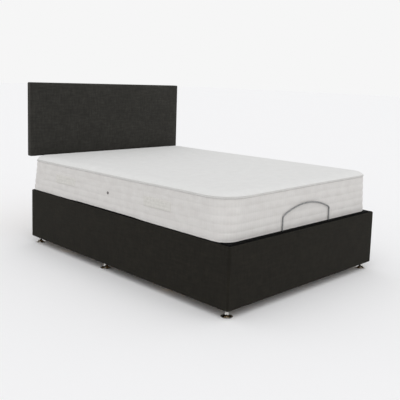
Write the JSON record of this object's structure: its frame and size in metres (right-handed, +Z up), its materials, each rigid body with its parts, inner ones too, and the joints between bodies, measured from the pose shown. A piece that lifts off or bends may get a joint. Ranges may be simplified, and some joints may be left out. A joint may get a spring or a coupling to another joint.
{
  "type": "adjustable bed",
  "caption": "Upholstered divan bed on glides whose back, thigh and calf deck sections lift by linear actuators, with a bending mattress, retainer bar and strutted headboard.",
  "frame": {"origin": "on the floor under the centre of the whole bed, headboard fixings included", "axes": "+X to the right seen from the foot, +Y towards the head, +Z up"},
  "size_m": [1.37, 2.02, 1.136],
  "materials": {
    "upholstery": "matte",
    "timber": "matte",
    "plywood": "satin",
    "glide_chrome": "polished",
    "frame_paint": "satin",
    "zinc_steel": "satin",
    "bar_steel": "satin",
    "black_plastic": "matte",
    "white_nylon": "matte",
    "motor_plastic": "satin",
    "rod_steel": "polished",
    "mattress_ticking": "matte"
  },
  "bodies": {
    "root": {"side_panel_left": "plywood", "side_panel_right": "plywood", "foot_panel": "plywood", "head_panel": "plywood", "upholstery_cover": "upholstery", "corner_blocks": "timber", "ledger_rails": "timber", "cross_bearers": "timber", "glide_feet": "glide_chrome", "glide_studs": "zinc_steel", "frame_rail_left": "frame_paint", "frame_rail_right": "frame_paint", "frame_cross_members": "frame_paint", "seat_frame": "frame_paint", "seat_deck_panel": "plywood", "hinge_brackets": "frame_paint", "hinge_bolts": "zinc_steel", "bearing_plates": "frame_paint", "bearing_bushes": "white_nylon", "calf_wheel_tracks": "frame_paint", "actuator_brackets": "frame_paint", "back_actuator_tube": "motor_plastic", "back_actuator_motor": "motor_plastic", "leg_actuator_tube": "motor_plastic", "leg_actuator_motor": "motor_plastic", "control_box": "black_plastic", "control_box_lid": "black_plastic", "power_inlet": "black_plastic", "mattress_seat": "mattress_ticking", "headboard_board": "plywood", "headboard_pad": "upholstery", "headboard_struts": "timber", "strut_spacers": "timber", "headboard_bolts": "zinc_steel"},
    "back_section": {"back_frame": "frame_paint", "back_deck_panel": "plywood", "back_wear_strips": "white_nylon", "mattress_back": "mattress_ticking"},
    "back_lift": {"back_lift_tube": "frame_paint", "back_lift_arms": "frame_paint"},
    "back_rollers": {"back_lift_rollers": "white_nylon"},
    "back_rod": {"back_actuator_rod": "rod_steel", "back_rod_eye": "black_plastic"},
    "thigh_section": {"thigh_frame": "frame_paint", "thigh_deck_panel": "plywood", "thigh_wear_strips": "white_nylon", "knee_bolts": "zinc_steel", "mattress_thigh": "mattress_ticking"},
    "calf_section": {"calf_frame": "frame_paint", "calf_deck_panel": "plywood", "retainer_bar": "bar_steel", "retainer_clips": "black_plastic", "mattress_calf": "mattress_ticking"},
    "calf_wheel_pair": {"calf_wheels": "white_nylon"},
    "leg_lift": {"leg_lift_tube": "frame_paint", "leg_lift_arms": "frame_paint"},
    "leg_rollers": {"leg_lift_rollers": "white_nylon"},
    "leg_rod": {"leg_actuator_rod": "rod_steel", "leg_rod_eye": "black_plastic"}
  },
  "joints": [
    {"name": "back_lift_angle", "type": "hinge", "parent": "root", "child": "back_section", "pos_m": [0, 0.215, 0.357], "axis": [1, 0, 0], "range_deg": [0, 55], "deforming": ["mattress_back", "mattress_seat"]},
    {"name": "back_tube_turn", "type": "hinge", "parent": "root", "child": "back_lift", "pos_m": [0, 0.115, 0.3152], "axis": [1, 0, 0], "range_deg": [0, 40]},
    {"name": "back_roller_turn", "type": "hinge", "parent": "back_lift", "child": "back_rollers", "pos_m": [0, 0.515, 0.3152], "axis": [1, 0, 0], "range_deg": [0, 15.2]},
    {"name": "back_rod_slide", "type": "slide", "parent": "root", "child": "back_rod", "axis": [0, 1, 0], "range_m": [0, 0.0685]},
    {"name": "leg_lift_angle", "type": "hinge", "parent": "root", "child": "thigh_section", "pos_m": [0, -0.105, 0.357], "axis": [-1, 0, 0], "range_deg": [0, 35], "deforming": ["mattress_thigh", "mattress_seat"]},
    {"name": "knee_bend", "type": "hinge", "parent": "thigh_section", "child": "calf_section", "pos_m": [0, -0.435, 0.357], "axis": [1, 0, 0], "range_deg": [0, 55.8], "deforming": ["mattress_calf"]},
    {"name": "calf_wheel_roll", "type": "hinge", "parent": "calf_section", "child": "calf_wheel_pair", "pos_m": [0, -0.965, 0.357], "axis": [1, 0, 0], "range_deg": [-445, 0]},
    {"name": "leg_tube_turn", "type": "hinge", "parent": "root", "child": "leg_lift", "pos_m": [0, -0.005, 0.3152], "axis": [-1, 0, 0], "range_deg": [0, 22.6]},
    {"name": "leg_roller_turn", "type": "hinge", "parent": "leg_lift", "child": "leg_rollers", "pos_m": [0, -0.305, 0.3152], "axis": [-1, 0, 0], "range_deg": [0, 12.6]},
    {"name": "leg_rod_slide", "type": "slide", "parent": "root", "child": "leg_rod", "axis": [0, -1, 0], "range_m": [0, 0.0392]}
  ],
  "couplings": [
    {"joint": "back_tube_turn", "follows": "back_lift_angle", "ratio": 0.7255},
    {"joint": "back_roller_turn", "follows": "back_lift_angle", "ratio": 0.27},
    {"joint": "back_rod_slide", "follows": "back_lift_angle", "m_per_rad": 0.071259},
    {"joint": "knee_bend", "follows": "leg_lift_angle", "ratio": 1.592},
    {"joint": "calf_wheel_roll", "follows": "leg_lift_angle", "ratio": -12.605},
    {"joint": "leg_tube_turn", "follows": "leg_lift_angle", "ratio": 0.643},
    {"joint": "leg_roller_turn", "follows": "leg_lift_angle", "ratio": 0.355},
    {"joint": "leg_rod_slide", "follows": "leg_lift_angle", "m_per_rad": 0.063873}
  ]
}
